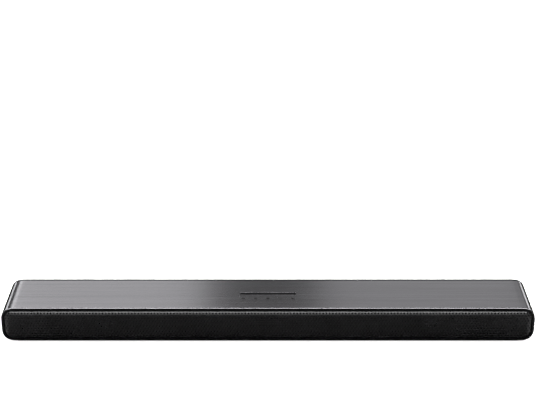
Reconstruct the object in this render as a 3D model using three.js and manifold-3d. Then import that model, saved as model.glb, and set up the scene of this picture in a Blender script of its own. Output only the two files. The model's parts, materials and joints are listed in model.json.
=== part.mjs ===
// A soundbar: a long low loudspeaker that stands in front of a television or hangs on a wall.
// Units are millimetres. +Z is up, the listener is on the -Y side, and +X is the listener's right.
// The origin is under the middle of the bar, on the surface that its feet stand on.
import * as THREE from "three";
import { mergeVertices } from "three/addons/utils/BufferGeometryUtils.js";
import Module from "manifold-3d";

// The outside of the bar
const width = 810;
const depth = 96;
const bodyHeight = 56;
const cornerRadius = 17.5;
const footHeight = 2.5;
const grilleBulge = 4.5;

// Walls and fits
const shellWall = 2.2;
const shellFrontLip = 0.9;
const shellUnderLip = 6;
const flangeReach = 5;
const gap = 0.3;
const weld = 0.4;
// How far a cutting shape reaches past what it cuts.
const over = 1;

// Front: bezel, grille and baffle, as distances behind the shell's front edge
const bezelFace = 3.3;
const bezelDepth = 3;
const bezelReach = 9.7;
const bezelOverlap = 1;
const grilleSheet = 1;
const grilleRoll = 8;
const rollSegments = 5;
const grilleReach = 5.5;
const baffleFront = 10;
const baffleWall = 3;

// Rear panel, its connector pockets and its wall hangers
const rearInset = 0.8;
const panelWall = 2.4;
const pocketDepth = 12;
const pocketWall = 1.6;
const pocketHeight = 17;
const pocketBelowBoard = 2;
const hangerFromEnd = 105;
const hangerWidth = 46;
const hangerHeight = 30;
const hangerSheet = 1.5;
const keyholeHead = 4.6;
const keyholeSlot = 2.4;
const keyholeRise = 9;
const screwFromHanger = 45;
const screwRise = 6.5;
const screwRadius = 1.5;
const screwHead = 3;
const screwSink = 1.6;
const bossSide = 9;
const bossLong = 9;
const bossFloor = 1;
const keyholeMargin = 1;
const signalPocketX = [-146, -50];
const mainsPocketWidth = 34;

// Control strip in the top: a shallow ramp, deepest at its rear step
const controlWidth = 86;
const controlRear = 50.8;
const controlLength = 32.5;
const rampDrop = 1.8;
const controlFlange = 4;
const controlSheet = 1.8;
const keyNames = ["volume_down_key", "source_key", "power_key", "sound_key", "volume_up_key"];
const keyPitch = 18.7;
const keyWidth = 8;
const keyLength = 12;
const keyFromRear = 19.2;
const keyRim = 0.5;
const keyRimSheet = 1;
const keyTravel = 0.5;
const keyStem = 2;
const switchSide = 6;
const switchHeight = 3.4;
const plungerRise = 0.8;
const keyBoardDrop = 12;
const boardSheet = 1.6;

// Loudspeakers
const driverMargin = 2.5;
const wooferLength = 104;
const wooferFromEnd = 75;
const tweeterFromWoofer = 82;
const tweeterRadius = 17;
const tweeterDome = 10;
const chamberFromTweeter = 28;
const chamberWall = 2.5;

// Electronics
const boardLift = 7;
const boardFromBaffle = 18;
const mainBoardLeft = -148;
const mainBoardRight = 20;
const powerBoardLeft = 35;
const powerBoardRight = 148;
const postRadius = 3;
const postInset = 7;
const displayWidth = 40;
const displayHeight = 10;
const receiverPlace = 46;
const receiverSize = 7;
const receiverLens = { radius: 2.9, proud: 2 };
const inletPlace = 118;
const leadRadius = 1.1;
const leadHole = 3;
const leadClearance = 1;
const tallPartsReach = 27;

// Feet
const footLength = 40;
const footWidth = 14;
const footSeat = 1;
const footFromEnd = 75;
const footFromEdge = 20;

// Places worked out from the sizes above
const halfWidth = width / 2;
const bodyBottom = footHeight;
const bodyTop = footHeight + bodyHeight;
const bodyMiddle = (bodyBottom + bodyTop) / 2;
const frontPlane = grilleBulge - (depth + grilleBulge) / 2;
const rearPlane = frontPlane + depth;
const rearFace = rearPlane - rearInset;
const panelFront = rearFace - panelWall;
const pocketFloor = rearFace - pocketDepth;
const bezelInset = shellFrontLip + gap + bezelFace;
const underHalf = halfWidth - cornerRadius - shellUnderLip;
const floorTop = bodyBottom + shellWall;
const boardBottom = floorTop + boardLift;
const boardTop = boardBottom + boardSheet;
const boardFront = behind(baffleFront + baffleWall + boardFromBaffle);
const boardRear = pocketFloor - panelWall - gap;
const wooferPlace = halfWidth - wooferFromEnd;
const wooferRadius = bodyHeight / 2 - shellWall - gap - driverMargin;
const tweeterPlace = wooferPlace - tweeterFromWoofer;
const chamberPlace = tweeterPlace - chamberFromTweeter;
const hangerPlace = halfWidth - hangerFromEnd;
const screwPlace = hangerPlace - screwFromHanger;
const screwZ = floorTop + screwRise;
const arcSegments = 6;
const turnSegments = 32;
// Keeps the two arcs of a fully round end from meeting in one point.
const sliver = 0.01;

const looks = {
  brushedMetal: { color: 0x8a8a8f, roughness: 0.35, metalness: 0.9 },
  glossBlack: { color: 0x0c0c0d, roughness: 0.15, metalness: 0 },
  grilleMetal: { color: 0x1b1b1c, roughness: 0.45, metalness: 0.6 },
  blackPlastic: { color: 0x17171a, roughness: 0.6, metalness: 0 },
  darkPlastic: { color: 0x24242a, roughness: 0.7, metalness: 0 },
  rubber: { color: 0x131313, roughness: 0.9, metalness: 0 },
  steel: { color: 0x9b9ca0, roughness: 0.4, metalness: 0.95 },
  aluminium: { color: 0xb4b6ba, roughness: 0.35, metalness: 0.95 },
  paper: { color: 0x2a2a2d, roughness: 0.85, metalness: 0 },
  ferrite: { color: 0x303134, roughness: 0.75, metalness: 0.1 },
  silk: { color: 0x3b3b40, roughness: 0.8, metalness: 0 },
  board: { color: 0x1e5a38, roughness: 0.55, metalness: 0 },
  winding: { color: 0xb8862b, roughness: 0.5, metalness: 0.2 },
  sleeve: { color: 0x23365c, roughness: 0.4, metalness: 0 },
  smokedLens: { color: 0x120d12, roughness: 0.1, metalness: 0 },
  leadJacket: { color: 0x8f1d1d, roughness: 0.6, metalness: 0 },
};

const wasm = await Module();
wasm.setup();
const group = new THREE.Group();

// The y of a plane this far behind the shell's front edge.
function behind(distance) {
  return frontPlane + distance;
}

// A closed three.js geometry as a solid that can be joined and cut.
function solid(geometry) {
  const bare = geometry.index ? geometry.toNonIndexed() : geometry.clone();
  bare.deleteAttribute("normal");
  bare.deleteAttribute("uv");
  const merged = mergeVertices(bare, 1e-4);
  return new wasm.Manifold(
    new wasm.Mesh({
      numProp: 3,
      vertProperties: merged.attributes.position.array,
      triVerts: new Uint32Array(merged.index.array),
    }),
  );
}

// Adds a solid to the bar as a named mesh.
function piece(name, body, look) {
  const { numProp, vertProperties, triVerts } = body.getMesh();
  const geometry = new THREE.BufferGeometry();
  geometry.setAttribute("position", new THREE.BufferAttribute(vertProperties, numProp));
  geometry.setIndex(new THREE.BufferAttribute(triVerts, 1));
  const mesh = new THREE.Mesh(geometry, new THREE.MeshStandardMaterial(look));
  mesh.name = name;
  group.add(mesh);
}

// A box between two corners, given as ranges.
function block([x0, x1], [y0, y1], [z0, z1]) {
  const geometry = new THREE.BoxGeometry(x1 - x0, y1 - y0, z1 - z0);
  geometry.translate((x0 + x1) / 2, (y0 + y1) / 2, (z0 + z1) / 2);
  return solid(geometry);
}

// The range of this size about a middle.
function about(middle, size) {
  return [middle - size / 2, middle + size / 2];
}

// A round bar along Y.
function rodAlongY(radius, x, [y0, y1], z) {
  const geometry = new THREE.CylinderGeometry(radius, radius, y1 - y0, turnSegments);
  geometry.translate(x, (y0 + y1) / 2, z);
  return solid(geometry);
}

// A round bar along Z.
function rodAlongZ(radius, x, y, [z0, z1]) {
  const geometry = new THREE.CylinderGeometry(radius, radius, z1 - z0, turnSegments);
  geometry.rotateX(Math.PI / 2);
  geometry.translate(x, y, (z0 + z1) / 2);
  return solid(geometry);
}

// A rectangle with round corners, drawn in x and z.
function roundedOutline(w, h, radius, x, z) {
  const shape = new THREE.Shape();
  const dx = w / 2 - radius;
  const dz = h / 2 - radius;
  shape.absarc(x + dx, z + dz, radius, 0, Math.PI / 2);
  shape.absarc(x - dx, z + dz, radius, Math.PI / 2, Math.PI);
  shape.absarc(x - dx, z - dz, radius, Math.PI, Math.PI * 1.5);
  shape.absarc(x + dx, z - dz, radius, Math.PI * 1.5, Math.PI * 2);
  shape.closePath();
  return shape;
}

// The bar's front outline, moved inwards by an inset.
function bodyOutline(inset) {
  const radius = cornerRadius - inset;
  return roundedOutline(width - 2 * inset, bodyHeight - 2 * inset, radius, 0, bodyMiddle);
}

// An outline in x and z, pushed along Y from y0 to y1.
function prism(shape, y0, y1) {
  const geometry = new THREE.ExtrudeGeometry(shape, {
    depth: y1 - y0,
    bevelEnabled: false,
    curveSegments: arcSegments,
  });
  geometry.rotateX(Math.PI / 2);
  geometry.translate(0, y1, 0);
  return solid(geometry);
}

// The same with both ends rolled over, so its front face is at y0.
function rolledPrism(shape, y0, y1, roll) {
  const geometry = new THREE.ExtrudeGeometry(shape, {
    depth: y1 - y0 - 2 * roll,
    bevelEnabled: true,
    bevelThickness: roll,
    bevelSize: roll,
    bevelOffset: -roll,
    bevelSegments: rollSegments,
    curveSegments: arcSegments,
  });
  geometry.rotateX(Math.PI / 2);
  geometry.translate(0, y1 - roll, 0);
  return solid(geometry);
}

// A profile of [y, z] points, pushed along X.
function bar(points, [x0, x1]) {
  const shape = new THREE.Shape(points.map(([y, z]) => new THREE.Vector2(y, z)));
  const geometry = new THREE.ExtrudeGeometry(shape, { depth: x1 - x0, bevelEnabled: false });
  geometry.applyMatrix4(new THREE.Matrix4().set(0, 0, 1, 0, 1, 0, 0, 0, 0, 1, 0, 0, 0, 0, 0, 1));
  geometry.translate(x0, 0, 0);
  return solid(geometry);
}

// A profile of [radius, y] points turned about a line along Y through x and z. One that keeps
// clear of the line is closed on itself.
// stretch gives, for a radius and a y, how far each half is moved out along X, which makes a racetrack.
function turned(profile, [x, y, z], stretch = () => 0) {
  const closed = profile[0][0] > 0 ? [...profile, profile[0]] : profile;
  const points = closed.map(([radius, along]) => new THREE.Vector2(radius, along));
  const geometry = new THREE.LatheGeometry(points, turnSegments, Math.PI / turnSegments);
  const position = geometry.attributes.position;
  for (let i = 0; i < position.count; i += 1) {
    const px = position.getX(i);
    const radius = Math.hypot(px, position.getZ(i));
    if (radius > gap) {
      position.setX(i, px + Math.sign(px) * stretch(radius, position.getY(i)));
    }
  }
  geometry.translate(x, y, z);
  return solid(geometry);
}

// A value held between 0 and 1.
function share(value) {
  return Math.min(1, Math.max(0, value));
}

// ---- Housing ----

// The step at the front that the bezel sits in, cut from the shell and from the bottom cover.
const bezelSeat = prism(bodyOutline(shellFrontLip), frontPlane - over, behind(bezelDepth + gap));

// The opening in the top for the control strip.
const controlY = [behind(controlRear - controlLength), behind(controlRear)];
const controlDepth = [bodyTop - shellWall - over, bodyTop + over];
const controlOpening = block(about(0, controlWidth), controlY, controlDepth);

function outerShell() {
  const opening = block([-underHalf, underHalf], [frontPlane - over, rearPlane + over], [0, floorTop + over]);
  return prism(bodyOutline(0), frontPlane, rearPlane)
    .subtract(prism(bodyOutline(shellWall), frontPlane - over, rearPlane + over))
    .subtract(bezelSeat)
    .subtract(opening)
    .subtract(controlOpening);
}

const footPlaces = [
  ["front_left_foot", -1, behind(footFromEdge)],
  ["front_right_foot", 1, behind(footFromEdge)],
  ["rear_left_foot", -1, rearPlane - footFromEdge],
  ["rear_right_foot", 1, rearPlane - footFromEdge],
];

function foot(side, y, clearance) {
  const x = side * (halfWidth - footFromEnd);
  const outline = [footLength + 2 * clearance, footWidth + 2 * clearance];
  return block(about(x, outline[0]), about(y, outline[1]), [0, bodyBottom + footSeat - gap + clearance]);
}

const screwPlaces = [["rear_left_screw", -screwPlace], ["rear_middle_screw", 0], ["rear_right_screw", screwPlace]];

// A block on the bottom cover that a rear-panel screw bites into.
function screwBoss(x) {
  const y = [panelFront - gap - bossLong, panelFront - gap];
  const post = block(about(x, bossSide), y, [floorTop - weld, screwZ + bossSide / 2]);
  return post.subtract(rodAlongY(screwRadius + gap / 2, x, [y[0] + bossFloor, y[1] + over], screwZ));
}

function rearScrew(x) {
  const head = rodAlongY(screwHead, x, [rearFace - screwSink + gap, rearFace - gap], screwZ);
  const shank = [panelFront - bossLong + bossFloor, rearFace - screwSink + 2 * gap];
  return head.add(rodAlongY(screwRadius, x, shank, screwZ));
}

function bottomCover() {
  const plate = [-(underHalf - gap), underHalf - gap];
  let cover = block(plate, [frontPlane, rearPlane], [bodyBottom, floorTop]).subtract(bezelSeat);
  const flangeY = [behind(baffleFront + baffleWall + gap), panelFront - gap];
  const flangeZ = [floorTop + gap, floorTop + gap + shellWall];
  for (const side of [-1, 1]) {
    const outer = side * (underHalf + flangeReach);
    const inner = side * (underHalf - shellUnderLip);
    const web = side * (underHalf - gap);
    cover = cover.add(block([inner, outer].sort((a, b) => a - b), flangeY, flangeZ));
    cover = cover.add(block([inner, web].sort((a, b) => a - b), flangeY, [floorTop - weld, flangeZ[1]]));
  }
  for (const [left, right] of [[mainBoardLeft, mainBoardRight], [powerBoardLeft, powerBoardRight]]) {
    for (const x of [left + postInset, right - postInset]) {
      for (const y of [boardFront + postInset, boardRear - postInset]) {
        cover = cover.add(rodAlongZ(postRadius, x, y, [floorTop - weld, boardBottom - gap]));
      }
    }
  }
  for (const [, x] of screwPlaces) {
    cover = cover.add(screwBoss(x));
  }
  for (const [, side, y] of footPlaces) {
    cover = cover.subtract(foot(side, y, gap));
  }
  return cover;
}

function ring(outerInset, innerInset, y0, y1) {
  const inside = prism(bodyOutline(innerInset), y0 - over, y1 + over);
  return prism(bodyOutline(outerInset), y0, y1).subtract(inside);
}

function frontBezel() {
  const face = ring(shellFrontLip + gap, bezelInset, frontPlane, behind(bezelDepth));
  return face.add(ring(shellWall + gap, bezelInset, behind(bezelDepth - bezelOverlap), behind(bezelReach)));
}

// A pan of thin sheet with a rolled edge, open at the back.
function frontGrille() {
  const front = frontPlane - grilleBulge;
  const far = behind(grilleReach) + 2 * grilleRoll;
  const outside = rolledPrism(bodyOutline(bezelInset + gap), front, far, grilleRoll);
  const inset = bezelInset + gap + grilleSheet;
  const inside = rolledPrism(bodyOutline(inset), front + grilleSheet, far, grilleRoll - grilleSheet);
  const reach = block([-width, width], [behind(grilleReach), far + over], [0, bodyTop + over]);
  return outside.subtract(inside).subtract(reach);
}

// ---- Rear panel ----

const pocketBottom = boardTop - pocketBelowBoard;
const signalPocket = { x: signalPocketX, z: [pocketBottom, pocketBottom + pocketHeight] };
const mainsPocket = { x: about(inletPlace, mainsPocketWidth), z: signalPocket.z };

// Sockets on the rear edges of the boards: their middles and outsides, and what is cut into and
// stands inside their mouths. A tongue's lift is above the socket's middle.
const sockets = {
  video: {
    x: -132, wide: 15, high: 6.4, long: 12,
    mouth: { wide: 13.8, high: 4.8, deep: 10 },
    tongue: { wide: 10, high: 1.2, lift: 0 },
  },
  optical: { x: -109, wide: 10.6, high: 10.6, long: 14, mouth: { wide: 8.2, high: 8.2, deep: 10 } },
  data: {
    x: -86, wide: 14.5, high: 7.4, long: 14,
    mouth: { wide: 12.9, high: 5.6, deep: 11 },
    tongue: { wide: 11, high: 1.8, lift: 1.2 },
  },
  line: { x: -64, wide: 9, high: 10, long: 13, bore: { radius: 1.8, deep: 11 } },
  mains: {
    x: inletPlace, wide: 24, high: 14, long: 20,
    mouth: { wide: 17, high: 9, deep: 15 },
    pin: { radius: 1.2, apart: 4.3 },
  },
};
const tongueSetback = 2;
const tongueRoot = 0.5;

// The outside of a socket, which ends flush with the floor of its pocket.
function socketBody({ x, wide, high, long }, clearance = 0) {
  const bottom = boardTop + gap - clearance;
  const top = boardTop + gap + high + clearance;
  return block(about(x, wide + 2 * clearance), [pocketFloor - long, pocketFloor + clearance * 4], [bottom, top]);
}

// A round-headed hole with a narrower slot above it, for a wall screw.
function keyhole(x, [y0, y1], margin) {
  const low = bodyMiddle - keyholeRise / 2;
  const high = bodyMiddle + keyholeRise / 2;
  return rodAlongY(keyholeHead + margin, x, [y0, y1], low)
    .add(rodAlongY(keyholeSlot + margin, x, [y0, y1], high))
    .add(block(about(x, 2 * (keyholeSlot + margin)), [y0, y1], [low, high]));
}

function rearPanel() {
  let panel = prism(bodyOutline(shellWall + gap), panelFront, rearFace);
  for (const { x, z } of [signalPocket, mainsPocket]) {
    const outside = [x[0] - pocketWall, x[1] + pocketWall];
    const upright = [z[0] - pocketWall, z[1] + pocketWall];
    panel = panel.add(block(outside, [pocketFloor - panelWall, rearFace], upright));
    panel = panel.subtract(block(x, [pocketFloor, rearFace + over], z));
  }
  for (const socket of Object.values(sockets)) {
    panel = panel.subtract(socketBody(socket, gap));
  }
  for (const side of [-1, 1]) {
    panel = panel.subtract(keyhole(side * hangerPlace, [panelFront - over, rearFace + over], keyholeMargin));
  }
  for (const [, x] of screwPlaces) {
    panel = panel.subtract(rodAlongY(screwHead + gap, x, [rearFace - screwSink, rearFace + over], screwZ));
    panel = panel.subtract(rodAlongY(screwRadius + gap, x, [panelFront - over, rearFace], screwZ));
  }
  return panel;
}

function wallHanger(side) {
  const y = [panelFront - gap - hangerSheet, panelFront - gap];
  const plate = block(about(side * hangerPlace, hangerWidth), y, about(bodyMiddle, hangerHeight));
  return plate.subtract(keyhole(side * hangerPlace, [y[0] - over, y[1] + over], 0));
}

// ---- Controls ----

// The height of the ramp's surface at a y.
function rampTop(y) {
  return bodyTop - (rampDrop * (y - controlY[0])) / controlLength;
}

const keyY = about(controlY[1] - keyFromRear, keyLength);
const underControl = bodyTop - shellWall - gap;
const keyBoardTop = bodyTop - keyBoardDrop;
const stemBottom = keyBoardTop + gap + switchHeight + keyTravel + gap;

function keyPlace(index) {
  return (index - (keyNames.length - 1) / 2) * keyPitch;
}

function controlPanel() {
  const [y0, y1] = [controlY[0] + gap, controlY[1] - gap];
  const bottom = underControl - controlSheet;
  const ramp = [[y0, bottom], [y1, bottom], [y1, rampTop(y1)], [y0, rampTop(y0)]];
  const flangeX = about(0, controlWidth + 2 * controlFlange);
  const flangeY = [controlY[0] - controlFlange, controlY[1] + controlFlange];
  let panel = bar(ramp, about(0, controlWidth - 2 * gap)).add(block(flangeX, flangeY, [bottom, underControl]));
  // Two ribs carry the key board.
  for (const side of [-1, 1]) {
    const rib = about((side * (controlWidth + controlFlange)) / 2, controlFlange);
    panel = panel.add(block(rib, keyY, [keyBoardTop + gap, bottom + weld]));
  }
  for (let i = 0; i < keyNames.length; i += 1) {
    panel = panel.subtract(block(about(keyPlace(i), keyWidth), keyY, [bottom - over, bodyTop + over]));
  }
  return panel;
}

// A key: a cap that follows the ramp, a rim that keeps it from lifting out, and a stem over its switch.
function key(index) {
  const x = keyPlace(index);
  const [y0, y1] = [keyY[0] + gap, keyY[1] - gap];
  const rimTop = underControl - controlSheet - gap;
  const side = [[y0, rimTop], [y1, rimTop], [y1, rampTop(y1)], [y0, rampTop(y0)]];
  const cap = bar(side, about(x, keyWidth - 2 * gap));
  const rimY = [keyY[0] - keyRim, keyY[1] + keyRim];
  const rimZ = [rimTop - keyRimSheet, rimTop + gap / 2];
  const rim = block(about(x, keyWidth + 2 * keyRim), rimY, rimZ);
  const middle = (keyY[0] + keyY[1]) / 2;
  return cap.add(rim).add(rodAlongZ(keyStem, x, middle, [stemBottom, rimZ[0] + weld]));
}

function keySwitch(index) {
  const x = keyPlace(index);
  const y = (keyY[0] + keyY[1]) / 2;
  const bottom = keyBoardTop + gap;
  const body = block(about(x, switchSide), about(y, switchSide), [bottom, bottom + switchHeight - plungerRise]);
  return body.add(rodAlongZ(keyStem - gap, x, y, [bottom + over, bottom + switchHeight]));
}

// ---- Loudspeakers ----

const speakerY = behind(baffleFront);
const halfStraight = wooferLength / 2 - wooferRadius;
const coilRadius = 8.4;
const coilWall = 0.4;
const coilRoom = 1.6;
const coilDip = 4;
const magnetRadius = wooferRadius - 6.5;
const magnetFront = 22.3;
const magnetLong = 14;
const magnetGroove = 9;
const coneEdge = wooferRadius - 4.8;
const holeRadius = wooferRadius - 1.8;
const flangeSheet = 2;
const basketWall = 1.1;
const basketLip = 1;
const basketStraightEnd = 8;
const basketFoot = 2;
const basketFootWall = 1.5;
const basketBore = coilRadius + 2.2;
const basketRear = magnetFront - gap;

// Racetrack at the front, round where the magnet is.
function basketStretch(radius, y) {
  const roundFrom = basketRear - basketFoot;
  return halfStraight * share((roundFrom - y) / (roundFrom - basketStraightEnd));
}

// Racetrack at the cone's edge, round at the coil.
function coneStretch(radius) {
  return halfStraight * share((radius - coilRadius - coilWall) / (coneEdge - coilRadius - coilWall));
}

function wooferBasket(x) {
  const out = holeRadius - gap;
  const inner = out - basketWall;
  const rear = magnetRadius + basketLip;
  const profile = [
    [inner, -flangeSheet - gap],
    [wooferRadius, -flangeSheet - gap],
    [wooferRadius, -gap],
    [out, -gap],
    [out, basketStraightEnd],
    [rear, basketRear - basketFoot],
    [rear, basketRear],
    [basketBore, basketRear],
    [basketBore, basketRear - basketFootWall],
    [rear - basketWall, basketRear - basketFoot],
    [inner, basketStraightEnd],
  ];
  return turned(profile, [x, speakerY, bodyMiddle], basketStretch);
}

function wooferMagnet(x) {
  const groove = magnetFront + magnetGroove;
  const poleRadius = coilRadius - coilRoom;
  const profile = [
    [0, magnetFront],
    [poleRadius, magnetFront],
    [poleRadius, groove],
    [coilRadius + coilRoom, groove],
    [coilRadius + coilRoom, magnetFront],
    [magnetRadius, magnetFront],
    [magnetRadius, magnetFront + magnetLong],
    [0, magnetFront + magnetLong],
  ];
  return turned(profile, [x, speakerY, bodyMiddle]);
}

const coneFrontY = -2;
const coneNeckY = 9.4;
const coneLand = 0.9;
const coneSheet = 0.8;
const coneNeckSheet = 0.6;

// The y of the cone's front surface at a radius.
function coneSurface(radius) {
  const fall = coneNeckY - coneFrontY;
  const run = coneEdge - coneLand - (coilRadius - coilWall);
  return coneFrontY + (fall * (coneEdge - coneLand - radius)) / run;
}

function wooferCone(x) {
  const coilEnd = magnetFront + coilDip;
  const profile = [
    [coneEdge - coneLand, coneFrontY],
    [coneEdge, coneFrontY],
    [coneEdge, coneFrontY + coneSheet],
    [coilRadius + coilWall, coneNeckY + coneNeckSheet],
    [coilRadius + coilWall, coilEnd],
    [coilRadius - coilWall, coilEnd],
    [coilRadius - coilWall, coneNeckY],
  ];
  return turned(profile, [x, speakerY, bodyMiddle], coneStretch);
}

const surroundLip = 1.4;
const surroundSheet = 0.8;
const surroundRise = 3.2;
const surroundShoulder = { out: 0.6, rise: 2.5 };

function wooferSurround(x) {
  const inner = coneEdge + gap;
  const middle = (inner + wooferRadius - surroundLip) / 2;
  const half = wooferRadius - surroundLip - middle;
  const shoulder = half * surroundShoulder.out;
  const land = -flangeSheet - 2 * gap;
  const profile = [
    [inner, land - surroundSheet],
    [middle - shoulder, land - surroundShoulder.rise],
    [middle, land - surroundRise],
    [middle + shoulder, land - surroundShoulder.rise],
    [middle + half, land - surroundSheet],
    [wooferRadius - gap, land - surroundSheet],
    [wooferRadius - gap, land],
    [inner, land],
  ];
  return turned(profile, [x, speakerY, bodyMiddle], () => halfStraight);
}

const capMargin = 0.9;
const capSheet = 0.7;
const capRise = 3.7;
const capShoulder = { out: 0.55, rise: 2.9 };

// A shallow dome whose rim sits just clear of the cone.
function dustCap(x) {
  const rim = coilRadius + capMargin;
  const rimBack = coneSurface(rim) - 2 * gap;
  const shoulder = rim * capShoulder.out;
  const profile = [
    [0, rimBack - capRise],
    [shoulder, rimBack - capShoulder.rise],
    [rim, rimBack - capSheet],
    [rim, rimBack],
    [shoulder, rimBack - capShoulder.rise + capSheet],
    [0, rimBack - capRise + capSheet],
  ];
  return turned(profile, [x, speakerY, bodyMiddle]);
}

const tweeterBore = tweeterDome + 0.9;
const tweeterWall = 1.7;
const tweeterFloor = 9;
const tweeterRear = 14;

function tweeterBody(x) {
  const outside = tweeterBore + tweeterWall;
  const profile = [
    [0, tweeterFloor],
    [tweeterBore, tweeterFloor],
    [tweeterBore, -flangeSheet - gap],
    [tweeterRadius, -flangeSheet - gap],
    [tweeterRadius, -gap],
    [outside, -gap],
    [outside, tweeterRear],
    [0, tweeterRear],
  ];
  return turned(profile, [x, speakerY, bodyMiddle]);
}

function tweeterDomePiece(x) {
  const profile = [
    [0, -3.2],
    [tweeterDome * 0.4, -2.7],
    [tweeterDome * 0.75, -1.2],
    [tweeterDome, 1],
    [tweeterDome, 5],
    [tweeterDome - 0.6, 5],
    [tweeterDome - 0.6, 1.3],
    [tweeterDome * 0.7, -0.4],
    [tweeterDome * 0.4, -1.9],
    [0, -2.5],
  ];
  return turned(profile, [x, speakerY, bodyMiddle]);
}

function frontBaffle() {
  const y = [speakerY, behind(baffleFront + baffleWall)];
  const cut = [y[0] - over, y[1] + over];
  let baffle = prism(bodyOutline(shellWall + gap), y[0], y[1]);
  for (const side of [-1, 1]) {
    const racetrack = roundedOutline(
      2 * (halfStraight + holeRadius),
      2 * holeRadius,
      holeRadius - sliver,
      side * wooferPlace,
      bodyMiddle,
    );
    baffle = baffle.subtract(prism(racetrack, cut[0], cut[1]));
    baffle = baffle.subtract(rodAlongY(tweeterBore + tweeterWall + gap, side * tweeterPlace, cut, bodyMiddle));
  }
  const window = block(about(0, displayWidth + 2 * gap), cut, about(bodyMiddle, displayHeight + 2 * gap));
  const receiver = about(receiverPlace, receiverSize + 2 * gap);
  return baffle.subtract(window).subtract(block(receiver, cut, about(bodyMiddle, receiverSize + 2 * gap)));
}

// The leads run behind the parts on the boards and over the mains inlet.
const leadY = boardFront + tallPartsReach + leadClearance + leadRadius;
const leadZ = boardTop + gap + sockets.mains.high + leadClearance + leadRadius;

// The wall between a speaker chamber and the electronics, with a hole for the speaker lead.
function chamberPartition(side) {
  const x = about(side * chamberPlace, chamberWall);
  const y = [behind(baffleFront + baffleWall + gap), panelFront - gap];
  const wall = block(x, y, [floorTop + gap, bodyTop - shellWall - gap]);
  const through = about(side * chamberPlace, chamberWall + 2 * over);
  const hole = block(through, about(leadY, 2 * leadHole), about(leadZ, 2 * leadHole));
  return wall.subtract(hole);
}

const leadStarts = { "-1": mainBoardLeft + 30, 1: mainBoardRight - 20 };
const leadClimb = { out: 2, below: 4, run: 12 };
const leadStraight = 12;
const leadBend = 20;
const leadStopShort = 8;

// A two-core lead from the main board to a woofer, as one round jacket.
function speakerLead(side) {
  const start = leadStarts[side];
  const finish = wooferPlace - magnetRadius - leadStopShort;
  const wooferY = speakerY + basketRear - basketFoot;
  const route = [
    [start, leadY, boardTop + 2 * leadRadius + gap],
    [start + side * leadClimb.out, leadY, leadZ - leadClimb.below],
    [start + side * leadClimb.run, leadY, leadZ],
    [side * (chamberPlace - leadStraight), leadY, leadZ],
    [side * (chamberPlace + leadStraight), leadY, leadZ],
    [side * (finish - leadBend), leadY - leadClimb.out, leadZ],
    [side * finish, (leadY + wooferY) / 2, leadZ],
    [side * finish, wooferY, leadZ],
  ];
  const path = new THREE.CatmullRomCurve3(route.map((point) => new THREE.Vector3(...point)));
  const section = new THREE.Shape();
  section.absarc(0, 0, leadRadius, 0, Math.PI * 2);
  const options = { steps: 48, extrudePath: path, curveSegments: 4, bevelEnabled: false };
  return solid(new THREE.ExtrudeGeometry(section, options));
}

// ---- Electronics ----

function circuitBoard(left, right) {
  return block([left, right], [boardFront, boardRear], [boardBottom, boardTop]);
}

function socketMiddle({ high }) {
  return boardTop + gap + high / 2;
}

// The space behind a socket's mouth.
function mouth(socket) {
  const { wide, high, deep } = socket.mouth;
  const y = [pocketFloor - deep, pocketFloor + over];
  return block(about(socket.x, wide), y, about(socketMiddle(socket), high));
}

// A contact tongue on the back wall of a mouth.
function tongue(socket) {
  const { wide, high, lift } = socket.tongue;
  const y = [pocketFloor - socket.mouth.deep - tongueRoot, pocketFloor - tongueSetback];
  return block(about(socket.x, wide), y, about(socketMiddle(socket) + lift, high));
}

function tongueSocket(socket) {
  return socketBody(socket).subtract(mouth(socket)).add(tongue(socket));
}

function lineSocket() {
  const socket = sockets.line;
  const { radius, deep } = socket.bore;
  const bore = rodAlongY(radius, socket.x, [pocketFloor - deep, pocketFloor + over], socketMiddle(socket));
  return socketBody(socket).subtract(bore);
}

function opticalSocket() {
  return socketBody(sockets.optical).subtract(mouth(sockets.optical));
}

const shutterSheet = 0.8;
const shutterSetback = 1.4;
const shutterPivotY = pocketFloor - shutterSetback;

// A flap that closes the optical socket and swings inwards about its top edge.
function opticalShutter() {
  const { wide, high } = sockets.optical.mouth;
  const middle = socketMiddle(sockets.optical);
  const z = [middle - high / 2 + gap, middle + high / 2 - shutterSheet / 2];
  return block(about(sockets.optical.x, wide - 2 * gap), about(shutterPivotY, shutterSheet), z);
}

function mainsInlet() {
  const socket = sockets.mains;
  const { wide, high, deep } = socket.mouth;
  const z = socketMiddle(socket);
  const outline = roundedOutline(wide, high, high / 2 - sliver, socket.x, z);
  let inlet = socketBody(socket).subtract(prism(outline, pocketFloor - deep, pocketFloor + over));
  for (const side of [-1, 1]) {
    const x = socket.x + side * socket.pin.apart;
    const y = [pocketFloor - deep - over, pocketFloor - tongueSetback];
    inlet = inlet.add(rodAlongY(socket.pin.radius, x, y, z));
  }
  return inlet;
}

const partsBase = boardTop + gap;
const heatSinkSizes = { x: [-40, 8], fromFront: 4, floor: 2, high: 15, fins: 9, finSheet: 1.4 };

function heatSink() {
  const { x, fromFront, floor, high, fins, finSheet } = heatSinkSizes;
  const y = [boardFront + fromFront, boardFront + tallPartsReach - 1];
  let sink = block(x, y, [partsBase, partsBase + floor]);
  for (let i = 0; i < fins; i += 1) {
    const left = x[0] + ((x[1] - x[0] - finSheet) * i) / (fins - 1);
    sink = sink.add(block([left, left + finSheet], y, [partsBase + floor - weld, partsBase + high]));
  }
  return sink;
}

const moduleSizes = { board: [-112, -84], can: [-109, -92], front: 6, rear: 22, canInset: 2, sheet: 1, high: 3 };

function wirelessModule() {
  const { board, can, front, rear, canInset, sheet, high } = moduleSizes;
  const y = [boardFront + front, boardFront + rear];
  const canY = [y[0] + canInset, y[1] - canInset];
  const canZ = [partsBase + sheet - weld, partsBase + high];
  return block(board, y, [partsBase, partsBase + sheet]).add(block(can, canY, canZ));
}

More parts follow.
